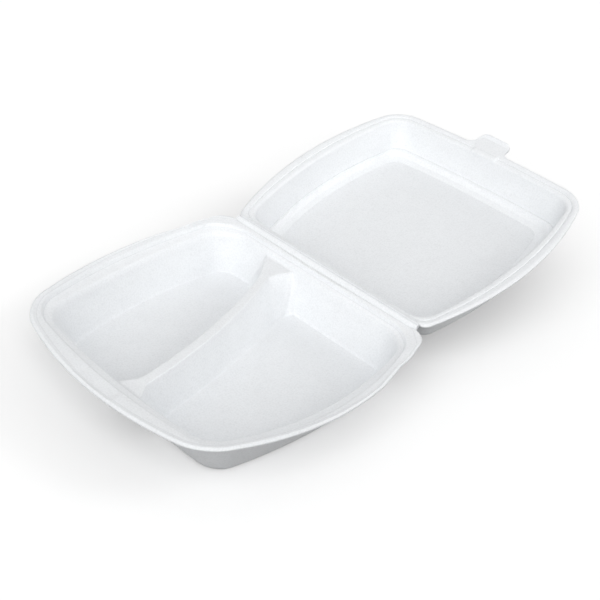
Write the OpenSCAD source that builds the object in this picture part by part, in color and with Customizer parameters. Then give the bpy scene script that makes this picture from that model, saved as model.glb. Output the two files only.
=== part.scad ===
// Foam clamshell meal container: a divided tray with a stepped rim, and a hinged lid with a front tab.
// Millimetres, z up, table at zero. The hinge axis runs along x, above the origin, at the rim plane.

/* [Tray outline] */
// half width between the front corners of the tray lip
tray_front_half = 93.9; // [90:0.1:97]
// half width between the back corners of the tray lip
tray_back_half = 104.1; // [102:0.1:107]
// distance from the hinge axis to the front corners of the tray lip
tray_front_y = 203.7; // [200:0.1:208]
// distance from the hinge axis to the tray's back edge
tray_back_y = 2.9; // [2.8:0.1:3.2]
// outward bow of the front lip
tray_front_bow = 17.2; // [15:0.1:19]
// outward bow of each side lip
tray_side_bow = 21; // [19:0.1:23]
// length taken off each front corner by its curve
tray_front_cut = 17.8; // [14:0.1:22]
// length taken off each back corner by its curve
tray_back_cut = 9.5; // [8:0.1:12]
// how far the rim sags in the middle of each side
rim_dip = 4.4; // [3:0.1:5]

/* [Tray rim] */
// half width between the front corners of the riser line
riser_front_half = 90.5; // [89:0.1:92]
// half width between the back corners of the riser line
riser_back_half = 98; // [97:0.1:99]
// distance from the hinge axis to the front corners of the riser line
riser_front_y = 197; // [195:0.1:198]
// distance from the hinge axis to the back of the riser line
riser_back_y = 8; // [7.6:0.1:8.4]
// outward bow of the front riser line
riser_front_bow = 8.6; // [7:0.1:9.5]
// outward bow of each side riser line
riser_side_bow = 18.4; // [17:0.1:19]
// half width between the front corners of the well edge
well_front_half = 85; // [84:0.1:86]
// half width between the back corners of the well edge
well_back_half = 94.5; // [93:0.1:95]
// distance from the hinge axis to the front corners of the well edge
well_front_y = 191.5; // [190:0.1:193]
// distance from the hinge axis to the back of the well edge
well_back_y = 10.6; // [10.2:0.1:11]
// outward bow of the front well edge
well_front_bow = 5.6; // [4.5:0.1:6.2]
// outward bow of each side well edge
well_side_bow = 13.6; // [12.6:0.1:14.4]
// length taken off the front corners of the riser and the well edge
well_front_cut = 16; // [13:0.1:19]
// length taken off the back corners of the riser and the well edge
well_back_cut = 22; // [18:0.1:26]
// inset of the lip's rounded edge, its crest, its inner foot and the start of the flange
lip_insets = [0.9, 2.2, 3.8, 4.8]; // [0.8:0.1:5]
// drop of the lip's edge, its crest, its inner foot and the start of the flange
lip_drops = [0.8, 0.25, 1.4, 1.8]; // [0.2:0.05:2]
// the same drops on the flat ears at the hinge
ear_drops = [0.8, 0.25, 0.6, 1]; // [0.2:0.05:2]
// thickness of the foam at the edge of the ears and of the hinge
ear_t = 1.6; // [1.4:0.1:2]
// depth of the small notch between each ear and the side lip
notch_depth = 3.4; // [1:0.1:4]
// drop of the flange end, riser foot, ledge start, ledge end, well edge and well mouth
rim_drops = [2.9, 4.9, 5.5, 6.5, 8, 10]; // [2.5:0.1:11]
// inset of the well mouth below the well edge
mouth_inset = 0.9; // [0.6:0.1:1.2]
// depth of the latch seat in the front flange
seat_drop = 0.9; // [0.5:0.1:1.2]

/* [Tray wells] */
// depth of both wells below the rim plane
well_depth = 40; // [37:0.1:43]
// thickness of the tray's foam
tray_t = 3; // [2.8:0.1:3.2]
// back corner of the small floor next to the divider
small_back = [-55, -19.5]; // [-90:0.5:-18]
// outer back corner of the small floor
small_back_outer = [-87, -19.5]; // [-90:0.5:-18]
// outer front corner of the small floor
small_front_outer = [-78.5, -178]; // [-180:0.5:-70]
// front corner of the small floor next to the divider
small_front = [-7, -179]; // [-181:0.5:-5]
// back corner of the large floor next to the divider
large_back = [-12.5, -19.5]; // [-21:0.5:-10]
// outer back corner of the large floor
large_back_outer = [87, -19.5]; // [-21:0.5:89]
// outer front corner of the large floor
large_front_outer = [78.5, -178]; // [-180:0.5:80]
// front corner of the large floor next to the divider
large_front = [21, -179]; // [-181:0.5:23]
// outward bow of the outer side of each floor
floor_side_bow = 8.4; // [7.5:0.1:9.5]
// outward bow of the front of each floor
floor_front_bow = 1.5; // [0.5:0.1:2.5]
// bow of the small floor along the divider
small_divider_bow = 9; // [8:0.1:10]
// bow of the large floor along the divider
large_divider_bow = 4.3; // [3.5:0.1:5]
// length taken off the outer floor corners
floor_cut = 12; // [9:0.1:15]
// length taken off the floor corners at the divider
floor_small_cut = 5; // [3:0.1:7]

/* [Divider] */
// back end of the divider's middle line
divider_back = [-38, -14]; // [-39:0.5:-13]
// front end of the divider's middle line
divider_front = [11, -188]; // [-189:0.5:12]
// bow of the divider's middle line
divider_bow = 8.7; // [7:0.1:10]
// width of the flat land on top of the divider
divider_w = 8.2; // [7.4:0.1:9]
// extra half width of the land at the back, on the small side
divider_flare_small = 4; // [2:0.1:5]
// extra half width of the land at the back, on the large side
divider_flare_large = 8; // [6:0.1:9]
// extra half width of the land at the front
divider_flare_front = 2.5; // [1:0.1:3]

/* [Hinge] */
// radius of the hinge bead
bead_r = 2.2; // [2:0.05:2.4]
// depth of the groove between the bead and the tray
groove_drop = 1.9; // [1.6:0.1:2.2]
// angle of the lid above the level when open
lid_open_deg = 11.3; // [0:0.1:20]

/* [Lid outline] */
// half width between the back corners of the lid lip
lid_back_half = 97.9; // [96:0.1:100]
// half width between the front corners of the lid lip
lid_front_half = 98.3; // [96:0.1:100]
// distance from the hinge axis to the lid's back edge
lid_back_y = 2.8; // [2.7:0.05:3]
// distance from the hinge axis to the front corners of the lid lip
lid_front_y = 206.5; // [203:0.1:208]
// outward bow of each side of the lid lip
lid_side_bow = 19.4; // [17:0.1:21]
// outward bow of the front of the lid lip
lid_front_bow = 4.4; // [3:0.1:6]
// length taken off each back corner of the lid lip
lid_back_cut = 5; // [4:0.1:6]
// length taken off each front corner of the lid lip
lid_front_cut = 17.6; // [14:0.1:20]

/* [Lid shell] */
// thickness of the lid's foam
lid_t = 1.8; // [1.6:0.1:2]
// half widths of the wall top between its back corners and between its front corners
lid_top_halves = [90.5, 92]; // [89:0.1:93]
// distance from the hinge axis to the back and the front corners of the wall top
lid_top_ys = [8.5, 197]; // [8:0.1:198]
// half widths of the wall foot between its back corners and between its front corners
lid_foot_halves = [85.5, 86.5]; // [84:0.1:88]
// distance from the hinge axis to the back and the front corners of the wall foot
lid_foot_ys = [15.5, 189.8]; // [15:0.1:191]
// half widths of the inner panel between its back corners and between its front corners
lid_panel_halves = [67.5, 68.5]; // [65:0.1:71]
// distance from the hinge axis to the back and the front corners of the inner panel
lid_panel_ys = [34, 165.5]; // [32:0.1:168]
// side bows of the wall top, the wall foot and the inner panel
lid_side_bows = [12.5, 12.8, 8.6]; // [8:0.1:14]
// front bows of the wall top, the wall foot and the inner panel
lid_front_bows = [3, 2.8, 3.5]; // [2:0.1:4]
// corner cuts of the wall top, the wall foot and the inner panel
lid_cuts = [14, 9, 8]; // [7:0.1:16]
// inset of the lid lip's rounded edge, the start and the end of its crest
lid_lip_insets = [0.8, 2.2, 4]; // [0.7:0.1:4.4]
// drop of the lid lip's edge, the start and the end of its crest
lid_lip_drops = [0.9, 0.3, 0.4]; // [0.3:0.05:1]
// drop of the rim slope, the rim foot and the wall top
lid_rim_drops = [1.6, 2.7, 3.6]; // [1.4:0.1:4]
// drop behind the narrow ridge along the lid's back edge
ridge_drop = 1.5; // [1:0.1:2]
// drop of the upper wall, lower wall, wall foot, ledge start, ledge end, step, step foot and panel
lid_wall_drops = [5.6, 25, 27, 27.7, 28, 29.6, 30.7, 30.2]; // [5:0.1:32]

/* [Lid tab] */
// half width of the tab where it leaves the lip
tab_root_half = 22; // [20:0.1:24]
// half width of the tab's sides
tab_half = 15.7; // [13:0.1:17]
// half width of the straight tip of the tab
tab_tip_half = 11.5; // [9:0.1:12.5]
// length of the tab beyond the lid lip
tab_len = 15; // [12:0.1:16]
// height that the tab's tip turns up
tab_lift = 3.6; // [2:0.1:4]
// offset of the tab's middle from the middle of the lid
tab_shift = -3; // [-4:0.1:4]
// half width of the raised bridge behind the tab
bridge_half = 12.5; // [11:0.1:14]

/* [Hidden] */
foam_white = [0.95, 0.96, 0.97];
corner_weight_share = 0.72;
side_n = 12;
corner_n = 4;
bead_degs = [150, 115, 75, 35, -5, -45, -85, -120];
edge_degs = [70, 50, 30, 10, -10, -30, -50, -70];
side_shares = [0, 0.025, 0.05, 0.072, 0.092, 0.11, 0.125, 0.137, 0.146, 0.17, 0.2, 0.24, 0.28, 0.32, 0.4,
    0.5, 0.6, 0.7, 0.8, 0.9, 1];
side_back_shares = [for (i = [1 : len(side_shares)]) 1 - side_shares[len(side_shares) - i]];
lid_side_shares = [for (i = [0 : side_n]) i / side_n];
notch_shares = [0.09, 0.146, 0.3];
bead_fade_shares = [0.13, 0.36];
seat_shares = [0.385, 0.615];
front_shares = [0, 0.09, 0.18, 0.27, 0.36, 0.385, 0.49, 0.555, 0.615, 0.64, 0.668, 0.75, 0.83,
    0.915, 1];
back_shares = [0, 0.2, 0.41, 0.619, 0.7, 0.792, 0.9, 1];
chain_shares = [0.03, 0.08, 0.14, 0.21, 0.3, 0.4, 0.5, 0.6, 0.7, 0.8, 0.87, 0.93, 0.975];
flare_back_share = 0.16;
flare_front_share = 0.08;
land_front_n = [6, 10];
land_back_n = [3, 5];
lip_reach_shares = [0.15, 0.35, 0.6, 0.75];
rim_shares = [0.96, 1.18, 1.32, 1.82, 2];
wall_run_shares = [0.05, 0.12, 0.86, 0.93, 1];
wall_fall_shares = [0.06, 0.16, 0.92, 0.98, 1];
tab_shares = [0, 0.06, 0.24, 0.68, 0.9, 0.99, 1];
tab_root_shares = [1, 0.5, 0.12];
tab_spread_shares = [0.36, 0.64];
tab_corner_share = 0.25;
lid_plain_shares = [0, 0.12, 0.24];
lid_rim_shares = [0.55, 0.85, 1];
lid_wall_shares = [0.06, 0.92, 1];
lid_panel_shares = [0.06, 0.18, 0.3, 0.42, 1];
tab_lift_shares = [1, 0.5, 0];
foot_out_share = 0.55;
bridge_hold_shares = [0, 0.1, 0.55];
rim_h = well_depth + tray_t;

function lerp(a, b, t) = a + (b - a) * t;
function unit(v) = v / norm(v);
function side_normal(v) = [v[1], -v[0]];
function plan(p) = [p[0], p[1]];
function lift(p, z) = [p[0], p[1], z];
function sum(v, n) = n == 0 ? 0 : v[n - 1] + sum(v, n - 1);

// a side with a parabolic bow, its direction, and where two tangents meet
function bowed(a, b, bow, u) = lerp(a, b, u) + side_normal(unit(b - a)) * bow * 4 * u * (1 - u);
function bowed_dir(a, b, bow, u) =
    unit(b - a + side_normal(unit(b - a)) * bow * 4 * (1 - 2 * u));
function meet(p, d, q, e) = p + d * (cross(q - p, e) / cross(d, e));
function conic(p, c, q, w, t) =
    (p * (1 - t) * (1 - t) + c * 2 * w * t * (1 - t) + q * t * t)
    / ((1 - t) * (1 - t) + 2 * w * t * (1 - t) + t * t);

// closed outline through four corners, with a bow, a list of shares and a corner curve for each side
function outline(pts, bows, cuts, shares, counts) = [
    for (k = [0 : 3])
        let (a = pts[k], b = pts[(k + 1) % 4], c = pts[(k + 2) % 4])
        let (u0 = cuts[k] / norm(b - a), u1 = 1 - cuts[(k + 1) % 4] / norm(b - a))
        let (v0 = cuts[(k + 1) % 4] / norm(c - b), bow2 = bows[(k + 1) % 4])
        let (p = bowed(a, b, bows[k], u1), q = bowed(b, c, bow2, v0))
        let (m = meet(p, bowed_dir(a, b, bows[k], u1), q, bowed_dir(b, c, bow2, v0)))
        each concat(
            [for (s = shares[k]) bowed(a, b, bows[k], lerp(u0, u1, s))],
            counts[k] == 0 ? []
                : [for (i = [1 : counts[k]]) conic(p, m, q, corner_weight_share, i / (counts[k] + 1))])
];

// faces of a strip between two rings of points, and of a fan round a middle point
function strip(a, b, n, flip) = [
    for (i = [0 : n - 1])
        let (j = (i + 1) % n)
        each flip
            ? [[a[i], b[j], b[i]], [a[i], a[j], b[j]]]
            : [[a[i], b[i], b[j]], [a[i], b[j], a[j]]]
];
function fan(a, c, n, flip) = [
    for (i = [0 : n - 1])
        let (j = (i + 1) % n)
        flip ? [a[i], a[j], c] : [a[i], c, a[j]]
];
function run(start, n) = [for (i = [0 : n - 1]) start + i];

// point on the underside, a thickness below p, square to the direction d across the sheet
function under(p, d, t) =
    let (h = norm(plan(d)), l = norm(d), e = plan(d) / max(h, l / 1000))
    [p[0] + e[0] * d[2] / l * t, p[1] + e[1] * d[2] / l * t, p[2] - h / l * t];

// tray outlines, each with the same count of points, starting at the back left corner
tray_shares = [side_shares, front_shares, side_back_shares, back_shares];
tray_counts = [corner_n, corner_n, corner_n, corner_n];
tray_n = sum([for (k = [0 : 3]) len(tray_shares[k]) + tray_counts[k]], 4);
front_at = len(side_shares) + corner_n;
back_at = tray_n - corner_n - len(back_shares);
function tray_corners(fh, bh, fy, by) = [[-bh, -by], [-fh, -fy], [fh, -fy], [bh, -by]];
plain_line = outline(tray_corners(tray_front_half, tray_back_half, tray_front_y, tray_back_y),
    [tray_side_bow, tray_front_bow, tray_side_bow, 0],
    [tray_back_cut, tray_front_cut, tray_front_cut, tray_back_cut], tray_shares, tray_counts);
riser_line = outline(tray_corners(riser_front_half, riser_back_half, riser_front_y, riser_back_y),
    [riser_side_bow, riser_front_bow, riser_side_bow, 0],
    [well_back_cut, well_front_cut, well_front_cut, well_back_cut], tray_shares, tray_counts);
well_line = outline(tray_corners(well_front_half, well_back_half, well_front_y, well_back_y),
    [well_side_bow, well_front_bow, well_side_bow, 0],
    [well_back_cut, well_front_cut, well_front_cut, well_back_cut], tray_shares, tray_counts);

// along each side 1 in the middle and 0 at the ends, and 0 on the front and the back
dip_shares = [
    for (k = [0 : 3])
        each concat([for (s = tray_shares[k]) k % 2 == 0 ? 4 * s * (1 - s) : 0],
            [for (i = [1 : corner_n]) 0])
];

// the notch beside each ear, and how far the raised lip has grown out of the flat ear
function notch(s) = s < notch_shares[1]
    ? pow(max(0, (s - notch_shares[0]) / (notch_shares[1] - notch_shares[0])), 1.6)
    : max(0, 1 - (s - notch_shares[1]) / (notch_shares[2] - notch_shares[1]));
function fade(s) = max(0, min(1, (s - bead_fade_shares[0]) / (bead_fade_shares[1] - bead_fade_shares[0])));
function from_back(k, s) = k == 0 ? s : 1 - s;
notch_at = [
    for (k = [0 : 3])
        each concat([for (s = tray_shares[k]) k % 2 == 0 ? notch(from_back(k, s)) : 0],
            [for (i = [1 : corner_n]) 0])
];
bead_at = [
    for (k = [0 : 3])
        each concat([for (s = tray_shares[k]) k % 2 == 0 ? fade(from_back(k, s)) : k == 1 ? 1 : 0],
            [for (i = [1 : corner_n]) k < 2 ? 1 : 0])
];
lip_line = [
    for (i = [0 : tray_n - 1])
        plain_line[i] + unit(riser_line[i] - plain_line[i]) * notch_depth * notch_at[i]
];
function on_hinge(i) = i >= back_at && i < back_at + len(back_shares);
function in_seat(i) =
    let (k = i - front_at)
    k >= 0 && k < len(front_shares) && front_shares[k] >= seat_shares[0]
        && front_shares[k] <= seat_shares[1];

// rings of the tray rim from the lip's edge to the well mouth
function lip_ring(k) = [
    for (i = [0 : tray_n - 1])
        let (a = lip_line[i], d = riser_line[i] - a)
        let (in = min(lip_insets[k], norm(d) * lip_reach_shares[k]))
        let (drop = on_hinge(i) ? lerp(groove_drop, rim_drops[0] / 2, k / 3)
            : lerp(ear_drops[k], lip_drops[k], bead_at[i]) + (k > 1 && in_seat(i) ? seat_drop : 0))
        lift(a + unit(d) * in, -drop - rim_dip * dip_shares[i])
];
function rim_ring(k) = [
    for (i = [0 : tray_n - 1])
        let (s = rim_shares[k], a = s < 1 ? lip_line[i] : riser_line[i])
        let (b = s < 1 ? riser_line[i] : well_line[i])
        lift(lerp(a, b, s > 1 ? s - 1 : s),
            -rim_drops[k] - (k == 0 && in_seat(i) ? seat_drop / 2 : 0) - rim_dip * dip_shares[i])
];
mouth_ring = [
    for (i = [0 : tray_n - 1])
        lift(well_line[i] + unit(well_line[i] - riser_line[i]) * mouth_inset,
            -rim_drops[5] - rim_dip * dip_shares[i])
];
rim_rings = concat([for (k = [0 : 3]) lip_ring(k)], [for (k = [0 : 4]) rim_ring(k)], [mouth_ring]);
rim_last = len(rim_rings) - 1;

// divider land: its two edges from back to front
chain_n = len(chain_shares);
function flare(u, at) = u < at ? (1 - u / at) * (1 - u / at) : 0;
function divider_edge(sign, back_flare) = [
    for (u = chain_shares)
        let (d = bowed_dir(divider_front, divider_back, divider_bow, 1 - u))
        let (w = divider_w / 2 + back_flare * flare(u, flare_back_share)
            + divider_flare_front * flare(1 - u, flare_front_share))
        lift(bowed(divider_front, divider_back, divider_bow, 1 - u) + side_normal(d) * sign * w,
            -rim_drops[5])
];
small_edge = divider_edge(-1, divider_flare_small);
large_edge = divider_edge(1, divider_flare_large);

// the ring points that border each well, and each well's mouth and floor
small_first = back_at + land_back_n[1];
small_last = front_at + land_front_n[0];
large_first = front_at + land_front_n[1];
large_last = back_at + land_back_n[0];
small_ids = [for (i = [small_first : tray_n + small_last]) i % tray_n];
large_ids = [for (i = [large_first : large_last]) i];
small_mouth = concat([for (i = small_ids) mouth_ring[i]],
    [for (j = [0 : chain_n - 1]) small_edge[chain_n - 1 - j]]);
large_mouth = concat([for (i = large_ids) mouth_ring[i]], large_edge);
small_back_share = back_shares[land_back_n[1]];
small_front_share = front_shares[land_front_n[0]];
large_back_share = back_shares[land_back_n[0]];
large_front_share = front_shares[land_front_n[1]];
small_floor = outline([small_back, small_back_outer, small_front_outer, small_front],
    [0, floor_side_bow, floor_front_bow, small_divider_bow],
    [floor_small_cut, floor_cut, floor_cut, floor_small_cut],
    [[for (s = back_shares) if (s >= small_back_share) (s - small_back_share) / (1 - small_back_share)],
        side_shares,
        [for (s = front_shares) if (s <= small_front_share) s / small_front_share],
        [for (j = [0 : chain_n - 1]) 1 - chain_shares[chain_n - 1 - j]]],
    [corner_n, corner_n, 0, 0]);
large_floor = outline([large_front, large_front_outer, large_back_outer, large_back],
    [floor_front_bow, floor_side_bow, 0, -large_divider_bow],
    [floor_small_cut, floor_cut, floor_cut, floor_small_cut],
    [[for (s = front_shares) if (s >= large_front_share) (s - large_front_share) / (1 - large_front_share)],
        side_back_shares,
        [for (s = back_shares) if (s <= large_back_share) s / large_back_share],
        chain_shares],
    [corner_n, corner_n, 0, 0]);

// rings of a well from its mouth to its floor
function well_ring(mouth, floor, k) = [
    for (i = [0 : len(mouth) - 1])
        lift(lerp(plan(mouth[i]), floor[i], wall_run_shares[k]),
            lerp(mouth[i][2], -well_depth, wall_fall_shares[k]))
];
function well_rings(mouth, floor) = concat([mouth], [for (k = [0 : 4]) well_ring(mouth, floor, k)]);
small_rings = well_rings(small_mouth, small_floor);
large_rings = well_rings(large_mouth, large_floor);
small_n = len(small_mouth);
large_n = len(large_mouth);

// what lies before a well's mouth point: the rim's last ring, or the far edge of the divider
small_before = concat([for (i = small_ids) rim_rings[rim_last - 1][i]],
    [for (j = [0 : chain_n - 1]) large_edge[chain_n - 1 - j]]);
large_before = concat([for (i = large_ids) rim_rings[rim_last - 1][i]], small_edge);
function reach(p, q, l) = p + (q - p) * min(1, l / norm(q - p));
function well_under(rings, before, k) = [
    for (i = [0 : len(before) - 1])
        let (p = rings[k][i])
        let (a = k == 0 ? reach(p, before[i], mouth_inset) : rings[k - 1][i])
        let (b = k == len(rings) - 1 ? p : reach(p, rings[k + 1][i], norm(p - a)))
        k == len(rings) - 1 ? p - [0, 0, tray_t] + lift(unit(plan(a - p)) * tray_t * foot_out_share, 0)
            : under(p, unit(p - a) + unit(b - p), tray_t)
];
small_unders = [for (k = [0 : len(small_rings) - 1]) well_under(small_rings, small_before, k)];
large_unders = [for (k = [0 : len(large_rings) - 1]) well_under(large_rings, large_before, k)];

// underside of the rim, and of its mouth ring where the divider's ends meet it
function rim_under(k) = [
    for (i = [0 : tray_n - 1])
        let (p = rim_rings[k][i], a = rim_rings[max(0, k - 1)][i], b = rim_rings[k + 1][i])
        k < 4 ? p - [0, 0, lerp(lerp(ear_t, tray_t, bead_at[i]), tray_t, k / 4)]
            : under(p, unit(p - a) + unit(b - p), tray_t)
];
mouth_under = [
    for (i = [0 : tray_n - 1])
        let (s = i >= small_first ? i - small_first : i <= small_last ? i + tray_n - small_first : -1)
        let (l = i >= large_first && i <= large_last ? i - large_first : -1)
        s >= 0 ? small_unders[0][s] : l >= 0 ? large_unders[0][l] : mouth_ring[i] - [0, 0, tray_t]
];
rim_unders = concat([for (k = [0 : rim_last - 1]) rim_under(k)], [mouth_under]);

// the rounded lip edge, which becomes the hinge bead along the back
function edge_ring(k) = [
    for (i = [0 : tray_n - 1])
        let (p = rim_rings[0][i], q = rim_unders[0][i], m = (p + q) / 2)
        let (o = unit(lip_line[i] - riser_line[i]))
        on_hinge(i)
            ? [p[0], -bead_r * cos(180 - bead_degs[k]), bead_r * sin(bead_degs[k])]
            : lift(plan(m) + o * lip_insets[0] * cos(edge_degs[k]),
                m[2] + (p[2] - q[2]) / 2 * sin(edge_degs[k]))
];
edge_rings = [for (k = [0 : len(edge_degs) - 1]) edge_ring(k)];

module base_tray() {
    all_rings = concat([for (k = [0 : rim_last]) rim_unders[rim_last - k]],
        [for (k = [0 : len(edge_rings) - 1]) edge_rings[len(edge_rings) - 1 - k]], rim_rings);
    ring_count = len(all_rings);
    last_ring = (ring_count - 1) * tray_n;
    edge_at = ring_count * tray_n;
    under_edge_at = edge_at + 2 * chain_n;
    wells_at = under_edge_at + 2 * chain_n;
    well_count = len(small_rings) - 1;
    small_at = wells_at;
    large_at = small_at + well_count * small_n + 1;
    small_under_at = large_at + well_count * large_n + 1;
    large_under_at = small_under_at + well_count * small_n + 1;
    small_mid = lift((small_back + small_back_outer + small_front_outer + small_front) / 4, -well_depth);
    large_mid = lift((large_back + large_back_outer + large_front_outer + large_front) / 4, -well_depth);
    small_edge_under = [for (j = [0 : chain_n - 1]) small_unders[0][small_n - 1 - j]];
    large_edge_under = [for (j = [0 : chain_n - 1]) large_unders[0][large_n - chain_n + j]];
    points = concat(
        [for (r = all_rings) each r],
        small_edge, large_edge, small_edge_under, large_edge_under,
        [for (k = [1 : well_count]) each small_rings[k]], [small_mid],
        [for (k = [1 : well_count]) each large_rings[k]], [large_mid],
        [for (k = [1 : well_count]) each small_unders[k]], [small_mid - [0, 0, tray_t]],
        [for (k = [1 : well_count]) each large_unders[k]], [large_mid - [0, 0, tray_t]]);
    rim_faces = [
        for (k = [0 : ring_count - 2])
            each strip(run(k * tray_n, tray_n), run((k + 1) * tray_n, tray_n), tray_n, false)
    ];
    faces = concat(rim_faces,
        well_faces(last_ring, edge_at, small_at, large_at, well_count, false),
        well_faces(0, under_edge_at, small_under_at, large_under_at, well_count, true));
    color(foam_white)
        translate([0, 0, rim_h])
            polyhedron(points, faces, convexity = 12);
}

// faces of the divider's land and both wells, from ring ids at ring_at and divider edge ids at edge_at
function well_faces(ring_at, edge_at, small_at, large_at, well_count, flip) =
    let (s = [for (j = [0 : chain_n - 1]) edge_at + j])
    let (l = [for (j = [0 : chain_n - 1]) edge_at + chain_n + j])
    let (small_loop = concat([for (i = small_ids) ring_at + i],
        [for (j = [0 : chain_n - 1]) s[chain_n - 1 - j]]))
    let (large_loop = concat([for (i = large_ids) ring_at + i], l))
    concat(
        [for (j = [0 : chain_n - 2]) each
            [turned([s[j], l[j], l[j + 1]], flip), turned([s[j], l[j + 1], s[j + 1]], flip)]],
        [for (i = [large_last : small_first - 1]) turned([ring_at + i + 1, ring_at + i, l[0]], flip)],
        [turned([ring_at + small_first, l[0], s[0]], flip)],
        [for (i = [small_last : large_first - 1])
            turned([s[chain_n - 1], ring_at + i + 1, ring_at + i], flip)],
        [turned([s[chain_n - 1], l[chain_n - 1], ring_at + large_first], flip)],
        loop_faces(small_loop, small_at, small_n, well_count, flip),
        loop_faces(large_loop, large_at, large_n, well_count, flip));
function turned(f, flip) = flip ? [f[0], f[2], f[1]] : f;
function loop_faces(loop, at, n, well_count, flip) = concat(
    strip(loop, run(at, n), n, flip),
    [for (k = [0 : well_count - 2]) each strip(run(at + k * n, n), run(at + (k + 1) * n, n), n, flip)],
    fan(run(at + (well_count - 1) * n, n), at + well_count * n, n, flip));

// lid outlines in the lid's own plane, starting at the back right corner
tab_n = len(tab_shares);
tab_spread = [
    for (j = [0 : 2 * tab_n - 2])
        lerp(tab_spread_shares[0], tab_spread_shares[1], j / (2 * tab_n - 2))
];
lid_front_shares = concat(lid_plain_shares, tab_spread,
    [for (j = [0 : len(lid_plain_shares) - 1]) 1 - lid_plain_shares[len(lid_plain_shares) - 1 - j]]);
lid_back_shares = [for (i = [0 : side_n / 2]) i / (side_n / 2)];
lid_shares = [lid_side_shares, lid_front_shares, lid_side_shares, lid_back_shares];
lid_n = sum([for (k = [0 : 3]) len(lid_shares[k]) + corner_n], 4);
tab_at = len(lid_side_shares) + corner_n + len(lid_plain_shares);
lid_back_at = lid_n - corner_n - len(lid_back_shares);
function on_lid_back(i) = i >= lid_back_at && i < lid_back_at + len(lid_back_shares);
function lid_corners(halves, ys) =
    [[halves[0], ys[0]], [halves[1], ys[1]], [-halves[1], ys[1]], [-halves[0], ys[0]]];
function lid_outline(halves, ys, side_bow, front_bow, back_cut, front_cut) =
    outline(lid_corners(halves, ys), [side_bow, front_bow, side_bow, 0],
        [back_cut, front_cut, front_cut, back_cut], lid_shares, tray_counts);
lid_plain = lid_outline([lid_back_half, lid_front_half], [lid_back_y, lid_front_y],
    lid_side_bow, lid_front_bow, lid_back_cut, lid_front_cut);
lid_lines = [
    for (k = [0 : 2])
        lid_outline(k == 0 ? lid_top_halves : k == 1 ? lid_foot_halves : lid_panel_halves,
            k == 0 ? lid_top_ys : k == 1 ? lid_foot_ys : lid_panel_ys,
            lid_side_bows[k], lid_front_bows[k], lid_cuts[k], lid_cuts[k])
];

// the tab: half widths from its root to the middle of its tip, mirrored
tab_halves = [
    for (j = [0 : tab_n - 1])
        j < 3 ? lerp(tab_half, tab_root_half, tab_root_shares[j])
        : j == 3 ? tab_half
        : j == tab_n - 1 ? 0 : lerp(tab_half, tab_tip_half, j == 4 ? tab_corner_share : 1)
];
function tab_index(i) = i >= tab_at && i < tab_at + 2 * tab_n - 1 ? i - tab_at : -1;
function tab_half_index(j) = j < tab_n ? j : 2 * tab_n - 2 - j;
lid_line = [
    for (i = [0 : lid_n - 1])
        let (j = tab_index(i))
        j < 0 ? lid_plain[i]
            : [tab_shift + tab_halves[tab_half_index(j)] * (j < tab_n ? 1 : -1),
                lid_plain[i][1] + tab_len * tab_shares[tab_half_index(j)]]
];
function on_bridge(i) = tab_index(i) >= 0 && abs(lid_lines[0][i][0]) < bridge_half;

// rings of the lid from its lip to its inner panel
function lid_lip_ring(k) = [
    for (i = [0 : lid_n - 1])
        let (a = lid_line[i], d = lid_lines[0][i] - a, j = tab_index(i))
        let (in = min(lid_lip_insets[k], norm(d) * lip_reach_shares[k]))
        let (rise = j < 0 ? 0 : tab_lift * tab_lift_shares[k] * pow(tab_shares[tab_half_index(j)], 8))
        lift(a + unit(d) * in, rise - (k == 2 && on_lid_back(i) ? ridge_drop : lid_lip_drops[k]))
];
function lid_rim_ring(k) = [
    for (i = [0 : lid_n - 1])
        let (a = lerp(lid_plain[i], lid_lines[0][i], lid_rim_shares[k]))
        lift(a, on_bridge(i) ? -lerp(lid_lip_drops[2], lid_rim_drops[k], bridge_hold_shares[k])
            : -lid_rim_drops[k])
];
function lid_wall_ring(k) = [
    for (i = [0 : lid_n - 1])
        lift(k < 3 ? lerp(lid_lines[0][i], lid_lines[1][i], lid_wall_shares[k])
            : lerp(lid_lines[1][i], lid_lines[2][i], lid_panel_shares[k - 3]), -lid_wall_drops[k])
];
lid_rings = concat([for (k = [0 : 2]) lid_lip_ring(k)], [for (k = [0 : 2]) lid_rim_ring(k)],
    [for (k = [0 : 7]) lid_wall_ring(k)]);
lid_last = len(lid_rings) - 1;
function lid_under(k) = [
    for (i = [0 : lid_n - 1])
        let (p = lid_rings[k][i], a = lid_rings[max(0, k - 1)][i], b = lid_rings[min(lid_last, k + 1)][i])
        k < 4 || k == lid_last ? p - [0, 0, lid_t] : under(p, unit(p - a) + unit(b - p), lid_t)
];
lid_unders = [for (k = [0 : lid_last]) lid_under(k)];
function lid_edge_ring(k) = [
    for (i = [0 : lid_n - 1])
        let (m = (lid_rings[0][i] + lid_unders[0][i]) / 2, o = plan(lid_line[i]) - plan(m))
        lift(plan(m) + o * cos(edge_degs[k]), m[2] + lid_t / 2 * sin(edge_degs[k]))
];

module lid() {
    edges = [for (k = [6, 4, 3, 1]) lid_edge_ring(k)];
    all_rings = concat([for (k = [0 : lid_last]) lid_unders[lid_last - k]], edges, lid_rings);
    ring_count = len(all_rings);
    mid_y = (lid_panel_ys[0] + lid_panel_ys[1]) / 2;
    mid = [0, mid_y, -lid_wall_drops[7]];
    points = concat([for (r = all_rings) each r], [mid, mid - [0, 0, lid_t]]);
    faces = concat(
        [for (k = [0 : ring_count - 2])
            each strip(run(k * lid_n, lid_n), run((k + 1) * lid_n, lid_n), lid_n, false)],
        fan(run((ring_count - 1) * lid_n, lid_n), ring_count * lid_n, lid_n, false),
        fan(run(0, lid_n), ring_count * lid_n + 1, lid_n, true));
    color(foam_white)
        translate([0, 0, rim_h])
            rotate([lid_open_deg, 0, 0])
                polyhedron(points, faces, convexity = 12);
}

base_tray();
lid();
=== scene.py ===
import math
import bpy
import bmesh
import numpy as np
from mathutils import Matrix, Vector


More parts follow.
